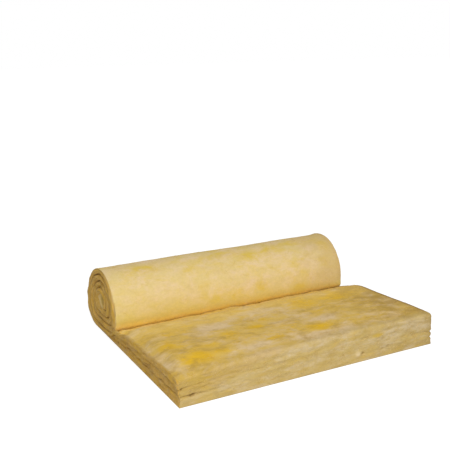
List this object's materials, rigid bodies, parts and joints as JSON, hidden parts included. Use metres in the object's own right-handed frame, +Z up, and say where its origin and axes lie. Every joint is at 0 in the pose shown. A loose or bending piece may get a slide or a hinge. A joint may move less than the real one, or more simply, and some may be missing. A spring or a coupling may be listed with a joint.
{
  "type": "partly unrolled insulation roll",
  "caption": "Soft glass wool blanket whose free end lies flat at full thickness and whose other end is wound into a sagging roll, for insulating lofts, roofs and walls.",
  "frame": {"origin": "on the floor, at the middle of the rectangle that the blanket covers", "axes": "+X along the roll's axis, +Y from the free end towards the roll, +Z up"},
  "size_m": [1.2, 1.0082, 0.292],
  "materials": {
    "wool": "matt, fibrous glass wool"
  },
  "bodies": {
    "root": {"wool_blanket": "wool"}
  },
  "joints": []
}
